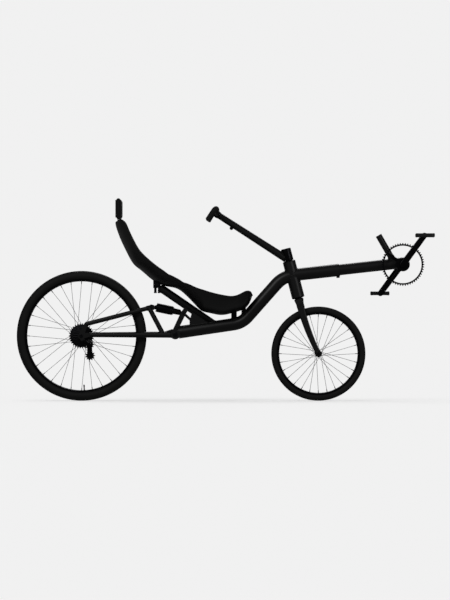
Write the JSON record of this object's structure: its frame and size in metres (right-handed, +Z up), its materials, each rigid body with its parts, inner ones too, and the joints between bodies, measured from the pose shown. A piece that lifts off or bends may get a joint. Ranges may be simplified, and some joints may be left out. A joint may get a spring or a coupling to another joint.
{
  "type": "recumbent bicycle",
  "caption": "Short-wheelbase recumbent bicycle with a padded bucket seat, headrest, sprung rear end, tiller steering and cranks on a telescoping boom.",
  "frame": {"origin": "on top of the seat pad at the hips, in the middle plane, where the rider's weight rests", "axes": "+X forward in the direction of travel, +Y to the rider's left, +Z up; the wheels stand on a level road parallel to X and Y"},
  "size_m": [2.0943, 0.342, 1.019],
  "materials": {
    "frame_paint": "satin black powder coat",
    "black_alloy": "black anodised",
    "chainring_alloy": "black anodised",
    "black_steel": "blackened",
    "shock_shaft": "hard anodised",
    "spoke_steel": "black oxide",
    "tyre": "matt",
    "seat_shell": "satin gel coat",
    "seat_fabric": "woven mesh",
    "grip_rubber": "matt",
    "pedal_plastic": "moulded"
  },
  "bodies": {
    "frame": {"main_tube": "frame_paint", "head_tube": "frame_paint", "headset_cups": "black_alloy", "boom_clamp": "frame_paint", "seat_strut": "frame_paint", "shock_tower": "frame_paint", "pivot_shell": "frame_paint", "pivot_axle": "black_steel", "dropouts": "frame_paint", "lower_stays": "frame_paint", "pivot_lugs": "frame_paint", "upper_stays": "frame_paint", "swingarm_braces": "frame_paint", "shock_bridge": "frame_paint", "shock_can": "black_alloy", "shock_shaft": "shock_shaft", "shock_bolts": "black_steel", "rear_axle": "black_steel", "seat_shell": "seat_shell", "seat_pad": "seat_fabric", "seat_front_mounts": "black_alloy", "seat_rear_mount": "black_alloy", "headrest_bracket": "black_alloy", "headrest_pad": "seat_fabric", "derailleur_body": "black_alloy", "derailleur_cage": "black_alloy", "jockey_wheels": "pedal_plastic"},
    "rear_wheel": {"rear_tyre": "tyre", "rear_rim": "black_alloy", "rear_spokes": "spoke_steel", "rear_hub": "black_alloy", "cassette": "black_steel"},
    "fork": {"steerer": "black_steel", "fork_crown": "frame_paint", "fork_blades": "frame_paint", "fork_ends": "frame_paint", "front_axle": "black_steel", "stem": "black_alloy", "tiller_tube": "frame_paint", "bar_clamp": "black_alloy", "handlebar": "black_alloy", "grips": "grip_rubber"},
    "front_wheel": {"front_tyre": "tyre", "front_rim": "black_alloy", "front_spokes": "spoke_steel", "front_hub": "black_alloy"},
    "boom": {"boom_tube": "frame_paint", "bb_shell": "frame_paint", "bb_unit": "black_steel", "derailleur_post": "frame_paint"},
    "crankset": {"bb_spindle": "black_steel", "right_crank": "black_alloy", "left_crank": "black_alloy", "chainring": "chainring_alloy", "pedal_spindles": "black_steel"},
    "pedal_right": {"right_pedal": "pedal_plastic"},
    "pedal_left": {"left_pedal": "pedal_plastic"}
  },
  "joints": [
    {"name": "rear_wheel_spin", "type": "hinge", "parent": "frame", "child": "rear_wheel", "pos_m": [-0.70983, 0, -0.13294], "axis": [0, 1, 0], "continuous": true},
    {"name": "steering", "type": "hinge", "parent": "frame", "child": "fork", "pos_m": [0.35663, 0, 0.15049], "axis": [-0.2504, 0, 0.9681], "range_deg": [-40, 40]},
    {"name": "front_wheel_spin", "type": "hinge", "parent": "fork", "child": "front_wheel", "pos_m": [0.48117, 0, -0.22244], "axis": [0, 1, 0], "continuous": true},
    {"name": "boom_slide", "type": "slide", "parent": "frame", "child": "boom", "axis": [0.9939, 0, 0.1104], "range_m": [-0.05, 0.06]},
    {"name": "crank_spin", "type": "hinge", "parent": "boom", "child": "crankset", "pos_m": [0.90344, 0, 0.22557], "axis": [0, 1, 0], "continuous": true},
    {"name": "right_pedal_spin", "type": "hinge", "parent": "crankset", "child": "pedal_right", "pos_m": [1.0105, 0, 0.37026], "axis": [0, 1, 0], "continuous": true},
    {"name": "left_pedal_spin", "type": "hinge", "parent": "crankset", "child": "pedal_left", "pos_m": [0.79637, 0, 0.08087], "axis": [0, 1, 0], "continuous": true}
  ]
}
